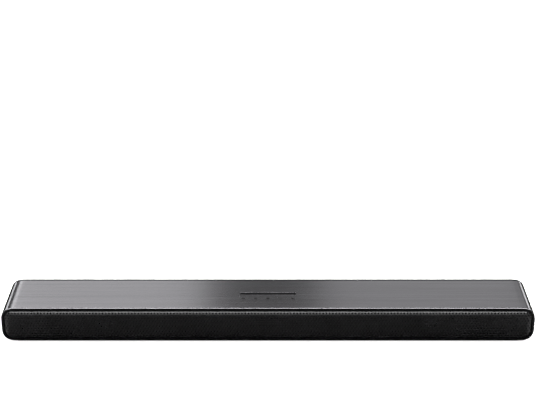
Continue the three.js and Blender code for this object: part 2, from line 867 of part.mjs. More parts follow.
const transformerSizes = {
  core: { x: [48, 76], y: [10, 22], z: [0, 20] },
  coil: { x: [52, 72], y: [5, tallPartsReach], z: [3, 17] },
};

function transformer() {
  const [core, coil] = [transformerSizes.core, transformerSizes.coil].map(({ x, y, z }) =>
    block(x, y.map((from) => boardFront + from), z.map((up) => partsBase + up)),
  );
  return core.add(coil);
}

const capacitorSizes = { x: 92, fromFront: 16, radius: 8, high: 20 };

function mainsCapacitor() {
  const { x, fromFront, radius, high } = capacitorSizes;
  return rodAlongZ(radius, x, boardFront + fromFront, [partsBase, partsBase + high]);
}

const displayProud = 3;
const displayBoardHeight = 22;
const displayBoardMargin = { left: 8, right: 10 };

function statusDisplay() {
  const y = [behind(baffleFront - displayProud), behind(baffleFront + baffleWall + gap)];
  return block(about(0, displayWidth), y, about(bodyMiddle, displayHeight));
}

function displayBoard() {
  const front = behind(baffleFront + baffleWall + 2 * gap);
  const x = [-displayWidth / 2 - displayBoardMargin.left, receiverPlace + displayBoardMargin.right];
  return block(x, [front, front + boardSheet], about(bodyMiddle, displayBoardHeight));
}

function infraredReceiver() {
  const y = [speakerY, behind(baffleFront + baffleWall + gap)];
  const body = block(about(receiverPlace, receiverSize), y, about(bodyMiddle, receiverSize));
  const lens = [speakerY - receiverLens.proud, speakerY + weld];
  return body.add(rodAlongY(receiverLens.radius, receiverPlace, lens, bodyMiddle));
}

// ---- Assembly ----

piece("outer_shell", outerShell(), looks.brushedMetal);
piece("bottom_cover", bottomCover(), looks.blackPlastic);
piece("rear_panel", rearPanel(), looks.blackPlastic);
piece("front_bezel", frontBezel(), looks.glossBlack);
piece("front_grille", frontGrille(), looks.grilleMetal);
piece("front_baffle", frontBaffle(), looks.darkPlastic);
for (const [name, side, y] of footPlaces) {
  piece(name, foot(side, y, 0), looks.rubber);
}

for (const [name, x] of screwPlaces) {
  piece(name, rearScrew(x), looks.steel);
}

piece("control_panel", controlPanel(), looks.brushedMetal);
keyNames.forEach((name, index) => {
  piece(name, key(index), looks.brushedMetal);
  piece(name.replace("_key", "_switch"), keySwitch(index), looks.steel);
});
const keyBoardX = about(0, controlWidth + 2 * controlFlange);
piece("key_board", block(keyBoardX, keyY, [keyBoardTop - boardSheet, keyBoardTop]), looks.board);

for (const [label, side] of [["left", -1], ["right", 1]]) {
  const x = side * wooferPlace;
  piece(`${label}_woofer_basket`, wooferBasket(x), looks.blackPlastic);
  piece(`${label}_woofer_magnet`, wooferMagnet(x), looks.ferrite);
  piece(`${label}_woofer_cone`, wooferCone(x), looks.paper);
  piece(`${label}_woofer_surround`, wooferSurround(x), looks.rubber);
  piece(`${label}_dust_cap`, dustCap(x), looks.paper);
  piece(`${label}_tweeter_body`, tweeterBody(side * tweeterPlace), looks.blackPlastic);
  piece(`${label}_tweeter_dome`, tweeterDomePiece(side * tweeterPlace), looks.silk);
  piece(`${label}_chamber_partition`, chamberPartition(side), looks.darkPlastic);
  piece(`${label}_wall_hanger`, wallHanger(side), looks.steel);
  piece(`${label}_speaker_lead`, speakerLead(side), looks.leadJacket);
}

piece("main_board", circuitBoard(mainBoardLeft, mainBoardRight), looks.board);
piece("amplifier_heat_sink", heatSink(), looks.aluminium);
piece("wireless_module", wirelessModule(), looks.steel);
piece("video_socket", tongueSocket(sockets.video), looks.steel);
piece("optical_socket", opticalSocket(), looks.blackPlastic);
piece("optical_shutter", opticalShutter(), looks.darkPlastic);
piece("data_socket", tongueSocket(sockets.data), looks.steel);
piece("line_socket", lineSocket(), looks.blackPlastic);
piece("power_board", circuitBoard(powerBoardLeft, powerBoardRight), looks.board);
piece("transformer", transformer(), looks.winding);
piece("mains_capacitor", mainsCapacitor(), looks.sleeve);
piece("mains_inlet", mainsInlet(), looks.blackPlastic);
piece("status_display", statusDisplay(), looks.smokedLens);
piece("display_board", displayBoard(), looks.board);
piece("infrared_receiver", infraredReceiver(), looks.smokedLens);

export default group;
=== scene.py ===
import json
import math

import bmesh
import bpy
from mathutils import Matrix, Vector

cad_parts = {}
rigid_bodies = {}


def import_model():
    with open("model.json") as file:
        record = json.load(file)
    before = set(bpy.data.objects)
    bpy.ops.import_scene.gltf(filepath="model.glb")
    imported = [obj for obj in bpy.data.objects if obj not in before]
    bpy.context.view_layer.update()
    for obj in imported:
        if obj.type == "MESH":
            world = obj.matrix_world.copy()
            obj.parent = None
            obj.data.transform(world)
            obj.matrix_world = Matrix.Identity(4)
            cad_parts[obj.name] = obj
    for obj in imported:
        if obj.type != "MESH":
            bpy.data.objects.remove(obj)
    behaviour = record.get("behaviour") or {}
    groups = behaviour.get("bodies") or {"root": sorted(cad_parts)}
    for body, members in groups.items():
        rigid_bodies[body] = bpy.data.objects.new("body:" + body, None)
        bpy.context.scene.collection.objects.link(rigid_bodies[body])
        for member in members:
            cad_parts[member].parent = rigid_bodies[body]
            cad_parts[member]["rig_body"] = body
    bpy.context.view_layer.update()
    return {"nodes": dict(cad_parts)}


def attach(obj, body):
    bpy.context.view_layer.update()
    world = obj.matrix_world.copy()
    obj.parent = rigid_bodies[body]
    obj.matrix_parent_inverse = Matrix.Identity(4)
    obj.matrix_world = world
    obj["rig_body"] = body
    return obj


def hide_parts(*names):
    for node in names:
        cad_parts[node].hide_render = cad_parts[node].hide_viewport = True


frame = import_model()
nodes = frame["nodes"]
print("frame loaded:", len(nodes), "nodes")

# All lengths are in metres. The bar's front is towards -Y, and its feet stand on z = 0.
bar = {
    "halfWidth": 0.405,
    "bottom": 0.0025,
    "top": 0.0585,
    "front": -0.04575,
    "rear": 0.05025,
    "corner": 0.0175,
}
middleZ = (bar["top"] + bar["bottom"]) / 2
straightX = bar["halfWidth"] - bar["corner"]
straightZ = (bar["top"] - bar["bottom"]) / 2 - bar["corner"]
tiny = 0.00002


def clearSelection():
    if bpy.context.object and bpy.context.object.mode != "OBJECT":
        bpy.ops.object.mode_set(mode="OBJECT")
    bpy.ops.object.select_all(action="DESELECT")


def choose(*pieces):  # selects these, the last one active
    clearSelection()
    for piece in pieces:
        piece.select_set(True)
        bpy.context.view_layer.objects.active = piece


def settle(name):  # names the new primitive and puts its place into its mesh
    piece = bpy.context.object
    piece.name = piece.data.name = name
    bpy.ops.object.transform_apply(location=True, rotation=True, scale=True)
    return piece


def startBlock(name, low, high):
    clearSelection()
    middle = [(a + b) / 2 for a, b in zip(low, high)]
    size = [b - a for a, b in zip(low, high)]
    bpy.ops.mesh.primitive_cube_add(size=1, location=middle, scale=size)
    return settle(name)


def startRod(name, radius, low, high, axis, sides=40):  # a round bar between two points along Y or Z
    clearSelection()
    middle = [(a + b) / 2 for a, b in zip(low, high)]
    length = abs(high[1] - low[1]) if axis == "Y" else abs(high[2] - low[2])
    turn = (math.radians(90), 0, 0) if axis == "Y" else (0, 0, 0)
    bpy.ops.mesh.primitive_cylinder_add(
        vertices=sides, radius=radius, depth=length, location=middle, rotation=turn
    )
    return settle(name)


def pick(piece, kind, test):  # selects faces, edges or vertices by their place and direction
    if bpy.context.object != piece or piece.mode != "EDIT":
        choose(piece)
        bpy.ops.object.mode_set(mode="EDIT")
    bpy.ops.mesh.select_mode(type=kind)
    bpy.ops.mesh.select_all(action="DESELECT")
    mesh = bmesh.from_edit_mesh(piece.data)
    if kind == "FACE":
        for face in mesh.faces:
            face.select_set(bool(test(face.calc_center_median(), face.normal)))
    elif kind == "EDGE":
        for edge in mesh.edges:
            start, end = edge.verts[0].co, edge.verts[1].co
            edge.select_set(bool(test((start + end) / 2, (end - start).normalized())))
    else:
        for vertex in mesh.verts:
            vertex.select_set(bool(test(vertex.co, vertex.normal)))
    bmesh.update_edit_mesh(piece.data)


def cutAt(piece, place, direction, test):  # a straight cut across the faces that pass the test
    pick(piece, "FACE", test)
    bpy.ops.mesh.bisect(plane_co=place, plane_no=direction)


def move(x=0, y=0, z=0):
    bpy.ops.transform.translate(value=(x, y, z))


def push(x=0, y=0, z=0):  # extrudes what is selected
    bpy.ops.mesh.extrude_region_move(TRANSFORM_OT_translate={"value": (x, y, z)})


def scaleAbout(centre, x=1, y=1, z=1):
    bpy.ops.transform.resize(value=(x, y, z), center_override=centre)


def roundEdges(piece, test, width, segments=3):
    pick(piece, "EDGE", test)
    bpy.ops.mesh.bevel(offset=width, segments=segments, affect="EDGES")


def useModifier(piece, kind, **settings):
    choose(piece)
    modifier = piece.modifiers.new(kind.lower(), kind)
    for key, value in settings.items():
        setattr(modifier, key, value)
    bpy.ops.object.modifier_apply(modifier=modifier.name)


def softenEdges(piece, width, segments=2, angle=40):
    useModifier(
        piece, "BEVEL", width=width, segments=segments, limit_method="ANGLE",
        angle_limit=math.radians(angle), use_clamp_overlap=True,
    )


def smooth(piece, angle=35, weighted=True):
    choose(piece)
    bpy.ops.object.shade_smooth_by_angle(angle=math.radians(angle))
    if weighted:
        useModifier(piece, "WEIGHTED_NORMAL", keep_sharp=True)


def joinPieces(name, *pieces):
    choose(*pieces)
    bpy.ops.object.join()
    joined = bpy.context.object
    joined.name = joined.data.name = name
    return joined


def copyPiece(piece, name, x=0, y=0, z=0):  # a copy with its own mesh, moved in its mesh
    copy = piece.copy()
    copy.data = piece.data.copy()
    copy.name = copy.data.name = name
    bpy.context.scene.collection.objects.link(copy)
    for key in list(copy.keys()):
        if key.startswith("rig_"):
            del copy[key]
    for vertex in copy.data.vertices:
        vertex.co += Vector((x, y, z))
    return copy


def tidyCopy(node, name, width=0.0002, segments=2, angle=40, smoothAngle=32):
    copy = copyPiece(nodes[node], name)
    copy.parent = None
    copy.hide_render = copy.hide_viewport = False
    copy.data.materials.clear()
    pick(copy, "FACE", lambda middle, normal: True)
    bpy.ops.mesh.remove_doubles(threshold=0.000002)
    bpy.ops.mesh.dissolve_limited(angle_limit=math.radians(1.5))
    clearSelection()
    if width:
        softenEdges(copy, width, segments, angle)
    smooth(copy, smoothAngle)
    return copy


def finishPiece(piece, body, slot, material, *replaced):
    clearSelection()
    piece.data.materials.clear()
    piece.data.materials.append(material)
    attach(piece, body)
    if replaced:
        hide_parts(*replaced)


def outsideOutline(x, z, radius):  # how far a point is outside the bar's outline, drawn with this corner
    acrossX = abs(x) - straightX
    acrossZ = abs(z - middleZ) - straightZ
    outside = math.hypot(max(acrossX, 0), max(acrossZ, 0))
    return outside + min(max(acrossX, acrossZ), 0) - radius


def roundedBlock(name, inset, front, rear, segments=20):  # the bar's outline, moved in by an inset
    low = (-(bar["halfWidth"] - inset), front, bar["bottom"] + inset)
    high = (bar["halfWidth"] - inset, rear, bar["top"] - inset)
    block = startBlock(name, low, high)
    roundEdges(block, lambda middle, along: abs(along.y) > 0.99, bar["corner"] - inset, segments)
    return block


def startGroup(name, inputs, outputs):
    group = bpy.data.node_groups.new(name, "ShaderNodeTree")
    for label, kind, value in inputs:
        socket = group.interface.new_socket(name=label, in_out="INPUT", socket_type=kind)
        socket.default_value = value
    for label, kind in outputs:
        group.interface.new_socket(name=label, in_out="OUTPUT", socket_type=kind)
    return group, group.nodes.new("NodeGroupInput"), group.nodes.new("NodeGroupOutput")


def addNode(tree, kind, settings=None, **sockets):  # settings are the node's own, sockets its inputs
    made = tree.nodes.new(kind)
    for key, value in (settings or {}).items():
        setattr(made, key, value)
    for key, value in sockets.items():
        socket = made.inputs[key.replace("_", " ")]
        if isinstance(value, bpy.types.NodeSocket):
            tree.links.new(value, socket)
        else:
            socket.default_value = value
    return made


def objectPlace(tree, scale=(1, 1, 1), turn=(0, 0, 0)):
    place = tree.nodes.new("ShaderNodeTexCoord").outputs["Object"]
    mapping = tree.nodes.new("ShaderNodeMapping")
    mapping.inputs["Scale"].default_value = scale
    mapping.inputs["Rotation"].default_value = turn
    tree.links.new(place, mapping.inputs["Vector"])
    return mapping.outputs["Vector"]


def addMath(tree, operation, first, second):
    made = tree.nodes.new("ShaderNodeMath")
    made.operation = operation
    for socket, value in zip(made.inputs, (first, second)):
        if isinstance(value, bpy.types.NodeSocket):
            tree.links.new(value, socket)
        else:
            socket.default_value = value
    return made.outputs[0]


def mixColors(tree, share, first, second):
    made = tree.nodes.new("ShaderNodeMix")
    made.data_type = "RGBA"
    for index, value in ((0, share), (6, first), (7, second)):
        if isinstance(value, bpy.types.NodeSocket):
            tree.links.new(value, made.inputs[index])
        else:
            made.inputs[index].default_value = value
    return made.outputs[2]


def spread(tree, value, low, high, outLow, outHigh):  # moves a value from one range to another
    made = tree.nodes.new("ShaderNodeMapRange")
    tree.links.new(value, made.inputs[0])
    for index, number in ((1, low), (2, high), (3, outLow), (4, outHigh)):
        if isinstance(number, bpy.types.NodeSocket):
            tree.links.new(number, made.inputs[index])
        else:
            made.inputs[index].default_value = number
    return made.outputs[0]


color, number, vector = "NodeSocketColor", "NodeSocketFloat", "NodeSocketVector"


def makeGrain():  # moulded or painted surface: fine pits, and slow changes of tone
    group, given, out = startGroup(
        "surfaceGrain",
        [("Deep", color, (0, 0, 0, 1)), ("Light", color, (0.1, 0.1, 0.1, 1)), ("Size", number, 900),
         ("Smoothest", number, 0.4), ("Roughest", number, 0.6)],
        [("Color", color), ("Roughness", number), ("Height", number)],
    )
    place = objectPlace(group)
    fine = addNode(group, "ShaderNodeTexNoise", Vector=place, Scale=given.outputs["Size"], Detail=3.0)
    pits = addNode(group, "ShaderNodeTexVoronoi", Vector=place, Scale=given.outputs["Size"])
    slow = addNode(group, "ShaderNodeTexNoise", Vector=place, Scale=24.0, Detail=4.0)
    both = addMath(group, "MULTIPLY", fine.outputs["Fac"], slow.outputs["Fac"])
    share = spread(group, both, 0.1, 0.42, 0.0, 1.0)
    group.links.new(mixColors(group, share, given.outputs["Deep"], given.outputs["Light"]), out.inputs["Color"])
    rough = spread(group, slow.outputs["Fac"], 0.3, 0.7, given.outputs["Smoothest"], given.outputs["Roughest"])
    group.links.new(rough, out.inputs["Roughness"])
    height = addMath(group, "ADD", fine.outputs["Fac"], pits.outputs["Distance"])
    group.links.new(height, out.inputs["Height"])
    return group


def makeHairlines():  # brushing that runs round the bar's outline, as the sheet was brushed flat
    group, given, out = startGroup(
        "hairlines",
        [("Deep", color, (0.3, 0.3, 0.3, 1)), ("Light", color, (0.6, 0.6, 0.6, 1)), ("Lines", number, 1.0),
         ("Smoothest", number, 0.25), ("Roughest", number, 0.4), ("Place", vector, (0, 0, 0))],
        [("Color", color), ("Roughness", number), ("Height", number)],
    )
    scale = given.outputs["Lines"]
    place = given.outputs["Place"]
    fine = addNode(group, "ShaderNodeTexNoise", Vector=place, Scale=scale, Detail=2.0, Roughness=0.6)
    wide = addNode(
        group, "ShaderNodeTexNoise", Vector=place, Scale=addMath(group, "MULTIPLY", scale, 0.17), Detail=3.0
    )
    both = addMath(
        group, "ADD",
        addMath(group, "MULTIPLY", fine.outputs["Fac"], 0.7),
        addMath(group, "MULTIPLY", wide.outputs["Fac"], 0.3),
    )
    share = spread(group, both, 0.36, 0.64, 0.0, 1.0)
    group.links.new(mixColors(group, share, given.outputs["Deep"], given.outputs["Light"]), out.inputs["Color"])
    rough = spread(group, fine.outputs["Fac"], 0.3, 0.7, given.outputs["Smoothest"], given.outputs["Roughest"])
    group.links.new(rough, out.inputs["Roughness"])
    group.links.new(both, out.inputs["Height"])
    return group


grainGroup = makeGrain()
hairlineGroup = makeHairlines()


def startMaterial(name, **sockets):
    material = bpy.data.materials.new(name)
    material.use_nodes = True
    tree = material.node_tree
    shader = tree.nodes["Principled BSDF"]
    for key, value in sockets.items():
        shader.inputs[key.replace("_", " ")].default_value = value
    return material, tree, shader


def addBump(tree, shader, height, strength, distance):
    bump = addNode(tree, "ShaderNodeBump", Height=height, Strength=strength, Distance=distance)
    tree.links.new(bump.outputs["Normal"], shader.inputs["Normal"])


def grainMaterial(name, deep, light, size, smoothest, roughest, strength, depth, **sockets):
    material, tree, shader = startMaterial(name, **sockets)
    grain = tree.nodes.new("ShaderNodeGroup")
    grain.node_tree = grainGroup
    for key, value in (("Deep", deep), ("Light", light)):
        grain.inputs[key].default_value = (*value, 1)
    for key, value in (("Size", size), ("Smoothest", smoothest), ("Roughest", roughest)):
        grain.inputs[key].default_value = value
    tree.links.new(grain.outputs["Color"], shader.inputs["Base Color"])
    tree.links.new(grain.outputs["Roughness"], shader.inputs["Roughness"])
    addBump(tree, shader, grain.outputs["Height"], strength, depth)
    return material


def brushedMaterial(name, deep, light, lines, stretch, smoothest, roughest, strength, depth, **sockets):
    material, tree, shader = startMaterial(name, Metallic=1.0, **sockets)
    lined = tree.nodes.new("ShaderNodeGroup")
    lined.node_tree = hairlineGroup
    for key, value in (("Deep", deep), ("Light", light)):
        lined.inputs[key].default_value = (*value, 1)
    for key, value in (("Lines", lines), ("Smoothest", smoothest), ("Roughest", roughest)):
        lined.inputs[key].default_value = value
    tree.links.new(objectPlace(tree, scale=stretch), lined.inputs["Place"])
    tree.links.new(lined.outputs["Color"], shader.inputs["Base Color"])
    tree.links.new(lined.outputs["Roughness"], shader.inputs["Roughness"])
    addBump(tree, shader, lined.outputs["Height"], strength, depth)
    return material


alongX = (0.006, 1, 0.006)
shellMetal = brushedMaterial(
    "brushed shell", (0.295, 0.29, 0.305), (0.375, 0.37, 0.39), 1500, alongX, 0.16, 0.24, 0.10, 0.00010
)
keyMetal = brushedMaterial(
    "brushed controls", (0.295, 0.29, 0.305), (0.375, 0.37, 0.39), 1500, alongX, 0.16, 0.24, 0.10, 0.00010
)
glossBlack = grainMaterial(
    "gloss black", (0.0020, 0.0020, 0.0022), (0.0035, 0.0035, 0.004), 60, 0.07, 0.12, 0.02, 0.0001,
    Specular_IOR_Level=0.12,
)
grilleBlack = grainMaterial(
    "grille paint", (0.003, 0.003, 0.0034), (0.007, 0.007, 0.0075), 1800, 0.30, 0.40, 0.25, 0.00008,
    Specular_IOR_Level=0.55,
)
caseBlack = grainMaterial(
    "case plastic", (0.010, 0.010, 0.011), (0.024, 0.024, 0.026), 1100, 0.5, 0.62, 0.35, 0.0002
)
innerPlastic = grainMaterial(
    "inner plastic", (0.006, 0.006, 0.007), (0.013, 0.013, 0.014), 700, 0.6, 0.75, 0.25, 0.0002
)
rubber = grainMaterial(
    "foot rubber", (0.008, 0.008, 0.008), (0.020, 0.020, 0.020), 1600, 0.75, 0.9, 0.4, 0.0002
)
zincSteel = grainMaterial(
    "zinc steel", (0.42, 0.42, 0.43), (0.62, 0.62, 0.63), 160, 0.28, 0.42, 0.06, 0.0001, Metallic=1.0
)
aluminium = brushedMaterial(
    "extruded aluminium", (0.55, 0.56, 0.57), (0.72, 0.73, 0.74), 1400, (1, 0.01, 0.01), 0.3, 0.45, 0.2, 0.0001
)
ferrite = grainMaterial("ferrite", (0.020, 0.020, 0.022), (0.045, 0.045, 0.048), 1300, 0.65, 0.8, 0.5, 0.0003)
conePaper = grainMaterial("cone paper", (0.012, 0.012, 0.013), (0.030, 0.030, 0.032), 420, 0.8, 0.95, 0.6, 0.0004)
surroundRubber = grainMaterial(
    "surround rubber", (0.007, 0.007, 0.007), (0.012, 0.012, 0.012), 600, 0.5, 0.6, 0.1, 0.0001
)
leadJacket = grainMaterial(
    "lead jacket", (0.16, 0.010, 0.008), (0.27, 0.018, 0.014), 500, 0.45, 0.6, 0.1, 0.0001
)
sleeveBlue = grainMaterial(
    "capacitor sleeve", (0.012, 0.025, 0.09), (0.02, 0.04, 0.14), 90, 0.28, 0.4, 0.03, 0.0001
)
inkDark = grainMaterial(
    "printed ink", (0.002, 0.002, 0.002), (0.005, 0.005, 0.005), 2500, 0.6, 0.75, 0.2, 0.00005,
    Specular_IOR_Level=0.1,
)
# near-black for the walls of the control opening: painted shade inside the groove
grooveShade = grainMaterial(
    "painted groove shade", (0.010, 0.010, 0.011), (0.020, 0.020, 0.021), 1800, 0.6, 0.75, 0.2, 0.00005,
    Specular_IOR_Level=0.2,
)
smokedLens = grainMaterial(
    "smoked lens", (0.009, 0.008, 0.010), (0.016, 0.014, 0.017), 60, 0.40, 0.52, 0.04, 0.0001, Coat_Weight=0.1
)


def makeSilk():  # woven dome: two sets of threads crossing
    material, tree, shader = startMaterial("coated silk", Roughness=0.75)
    across = addNode(
        tree, "ShaderNodeTexWave", {"bands_direction": "X"}, Vector=objectPlace(tree), Scale=700.0, Distortion=0.4
    )
    up = addNode(
        tree, "ShaderNodeTexWave", {"bands_direction": "Z"}, Vector=objectPlace(tree), Scale=700.0, Distortion=0.4
    )
    threads = addMath(tree, "MAXIMUM", across.outputs["Fac"], up.outputs["Fac"])
    shade = mixColors(tree, threads, (0.010, 0.010, 0.012, 1), (0.035, 0.035, 0.040, 1))
    tree.links.new(shade, shader.inputs["Base Color"])
    addBump(tree, shader, threads, 0.5, 0.0001)
    return material


def makeBoard():  # solder mask over tracks, with pale legend dots
    material, tree, shader = startMaterial("circuit board", Coat_Weight=0.3)
    place = objectPlace(tree)
    tracks = addNode(
        tree, "ShaderNodeTexBrick", {"offset": 0.37, "squash": 1.4, "squash_frequency": 3}, Vector=place,
        Scale=160.0, Mortar_Size=0.028, Mortar_Smooth=0.2, Brick_Width=0.9, Row_Height=0.3,
    )
    dots = addNode(tree, "ShaderNodeTexVoronoi", Vector=place, Scale=260.0)
    pads = spread(tree, dots.outputs["Distance"], 0.08, 0.13, 1.0, 0.0)
    slow = addNode(tree, "ShaderNodeTexNoise", Vector=place, Scale=60.0, Detail=4.0)
    green = mixColors(tree, tracks.outputs["Fac"], (0.008, 0.075, 0.030, 1), (0.020, 0.14, 0.055, 1))
    shade = mixColors(tree, pads, green, (0.45, 0.42, 0.32, 1))
    tree.links.new(shade, shader.inputs["Base Color"])
    tree.links.new(spread(tree, slow.outputs["Fac"], 0.3, 0.7, 0.32, 0.5), shader.inputs["Roughness"])
    addBump(tree, shader, tracks.outputs["Fac"], 0.3, 0.0001)
    return material


def makeWinding():  # close turns of enamelled wire; the copper is darker between the turns, painted shade in the creases
    material, tree, shader = startMaterial("copper winding", Metallic=0.6, Roughness=0.4)
    turns = addNode(
        tree, "ShaderNodeTexWave", {"bands_direction": "Y"}, Vector=objectPlace(tree), Scale=420.0, Distortion=0.6,
        Detail=1.0,
    )
    shade = mixColors(tree, turns.outputs["Fac"], (0.20, 0.07, 0.02, 1), (0.72, 0.32, 0.10, 1))
    tree.links.new(shade, shader.inputs["Base Color"])
    addBump(tree, shader, turns.outputs["Fac"], 0.8, 0.0004)
    return material


silk = makeSilk()
boardGreen = makeBoard()
winding = makeWinding()
print("materials made")


shellSizes = {
    "wall": 0.0022,
    "cornerStart": 0.026,
    "cornerFullness": 0.6446,
    "frontLip": 0.0008,
    "lipDepth": 0.0033,
    "underHalf": 0.3815,
    "frontChamfer": 0.0006,
    "rearChamfer": 0.0005,
    "rearBand": 0.0050,
    "rimBevel": 0.00005,
}
controlSizes = {"halfWidth": 0.043, "front": -0.02745, "rear": 0.00505, "drop": 0.0018}


def makeShell():
    sizes, opening = shellSizes, controlSizes
    front, rear, top = bar["front"], bar["rear"] - 0.00001, bar["top"]
    low = (-bar["halfWidth"], front, bar["bottom"])
    shell = startBlock("shell_wrap", low, (bar["halfWidth"], rear, top))
    pick(shell, "EDGE", lambda middle, along: abs(along.y) > 0.99)
    bpy.ops.mesh.bevel(
        offset=sizes["cornerStart"], segments=30, profile=sizes["cornerFullness"], affect="EDGES"
    )
    pick(shell, "FACE", lambda middle, normal: abs(normal.y) > 0.9)
    bpy.ops.mesh.delete(type="FACE")
    for side in (-1, 1):
        cutAt(shell, (side * sizes["underHalf"], 0, 0), (1, 0, 0), lambda middle, normal: normal.z < -0.9)
        cutAt(shell, (side * opening["halfWidth"], 0, 0), (1, 0, 0), lambda middle, normal: normal.z > 0.9)
    pick(shell, "FACE", lambda middle, normal: normal.z < -0.9 and abs(middle.x) < sizes["underHalf"])
    bpy.ops.mesh.delete(type="FACE")
    for y in (opening["front"], opening["rear"]):
        cutAt(shell, (0, y, 0), (0, 1, 0), lambda middle, normal: normal.z > 0.9 and abs(middle.x) < 0.03)
    centreY = (opening["front"] + opening["rear"]) / 2
    pick(shell, "FACE", lambda middle, normal: abs(middle.x) < 0.03 and abs(middle.y - centreY) < 0.004)
    bpy.ops.mesh.delete(type="FACE")
    for step in (0, 0.0001):
        cutAt(shell, (0, front + sizes["lipDepth"] + step, 0), (0, 1, 0), lambda middle, normal: True)
    cutAt(shell, (0, rear - sizes["rearBand"], 0), (0, 1, 0), lambda middle, normal: True)
    clearSelection()
    full = shell.vertex_groups.new(name="fullWall")
    behindLip = front + sizes["lipDepth"] + 0.00005
    full.add([v.index for v in shell.data.vertices if v.co.y > behindLip], 1, "REPLACE")
    useModifier(
        shell, "SOLIDIFY", thickness=sizes["wall"], offset=-1, use_even_offset=True, vertex_group="fullWall",
        thickness_vertex_group=sizes["frontLip"] / sizes["wall"],
    )
    atOutline = lambda middle: outsideOutline(middle.x, middle.z, bar["corner"]) > -0.0006
    roundEdges(
        shell, lambda middle, along: abs(middle.y - front) < tiny and atOutline(middle), sizes["frontChamfer"], 3
    )
    roundEdges(
        shell, lambda middle, along: abs(middle.y - rear) < tiny and atOutline(middle), sizes["rearChamfer"], 3
    )
    onTop = lambda middle: abs(middle.z - top) < tiny and abs(middle.x) < opening["halfWidth"] + tiny
    rim = lambda middle: (
        abs(abs(middle.x) - opening["halfWidth"]) < tiny or abs(middle.y - opening["rear"]) < tiny
    )
    roundEdges(
        shell,
        lambda middle, along: onTop(middle) and rim(middle)
        and opening["front"] - tiny < middle.y < opening["rear"] + tiny,
        sizes["rimBevel"], 2,
    )
    clearSelection()
    smooth(shell, 40)
    shell.vertex_groups.clear()
    return shell


def paintFaces(piece, material, test):  # gives the faces that pass the test a second material
    piece.data.materials.append(material)
    for face in piece.data.polygons:
        if test(face.center, face.normal):
            face.material_index = len(piece.data.materials) - 1


def inGroove(middle, normal):
    inside = abs(middle.x) < controlSizes["halfWidth"] + tiny and middle.z > bar["top"] - shellSizes["wall"]
    alongY = controlSizes["front"] < middle.y < controlSizes["rear"] + tiny
    return inside and alongY and abs(normal.z) < 0.3


def onRearBand(middle, normal):
    return middle.y > bar["rear"] - shellSizes["rearBand"] - tiny


housing = "housing"
shell = makeShell()
finishPiece(shell, housing, "brushed_metal", shellMetal, "outer_shell")
# the opening's walls are painted near-black: painted shade in the groove around the controls
paintFaces(shell, grooveShade, inGroove)
# a band along the top's rear edge is drawn near-black with the same material as the marks
paintFaces(shell, inkDark, onRearBand)
print("shell made")


bezelSizes = {
    "outer": 0.0012,
    "face": 0.0033,
    "plate": 0.003,
    "step": 0.0013,
    "reach": 0.0067,
    "outerEdge": 0.0003,
    "innerEdge": 0.0005,
}


def makeBezel():
    sizes = bezelSizes
    front = bar["front"]
    bezel = roundedBlock("bezel_ring", sizes["outer"], front, front + sizes["plate"], 20)
    pick(bezel, "FACE", lambda middle, normal: normal.y < -0.9)
    bpy.ops.mesh.inset(thickness=sizes["face"], use_even_offset=True)
    bpy.ops.mesh.delete(type="FACE")
    pick(bezel, "FACE", lambda middle, normal: normal.y > 0.9)
    bpy.ops.mesh.inset(thickness=sizes["step"], use_even_offset=True)
    push(y=sizes["reach"])
    bpy.ops.mesh.inset(thickness=sizes["face"] - sizes["step"], use_even_offset=True)
    bpy.ops.mesh.delete(type="FACE")
    bpy.ops.mesh.select_mode(type="EDGE")
    bpy.ops.mesh.select_all(action="DESELECT")
    bpy.ops.mesh.select_non_manifold()
    bpy.ops.mesh.bridge_edge_loops()
    bpy.ops.mesh.select_all(action="SELECT")
    bpy.ops.mesh.normals_make_consistent(inside=False)
    outer = bar["corner"] - sizes["outer"]
    inner = outer - sizes["face"]
    atFront = lambda middle: abs(middle.y - front) < tiny
    roundEdges(
        bezel,
        lambda middle, along: atFront(middle) and abs(outsideOutline(middle.x, middle.z, outer)) < 0.0001,
        sizes["outerEdge"], 2,
    )
    roundEdges(
        bezel,
        lambda middle, along: atFront(middle) and abs(outsideOutline(middle.x, middle.z, inner)) < 0.0001,
        sizes["innerEdge"], 3,
    )
    clearSelection()
    smooth(bezel, 40)
    return bezel


bezel = makeBezel()
finishPiece(bezel, housing, "gloss_black", glossBlack, "front_bezel")
print("bezel made")


grilleSizes = {
    "inset": 0.0048,
    "front": -0.05025,
    "roll": 0.008,
    "back": 0.0020,
    "sheet": 0.0008,
    "pitch": 0.0049,
    "hole": 0.00155,
    "columns": 82,
    "rows": 5,
    "fieldEdge": 0.0095,
}


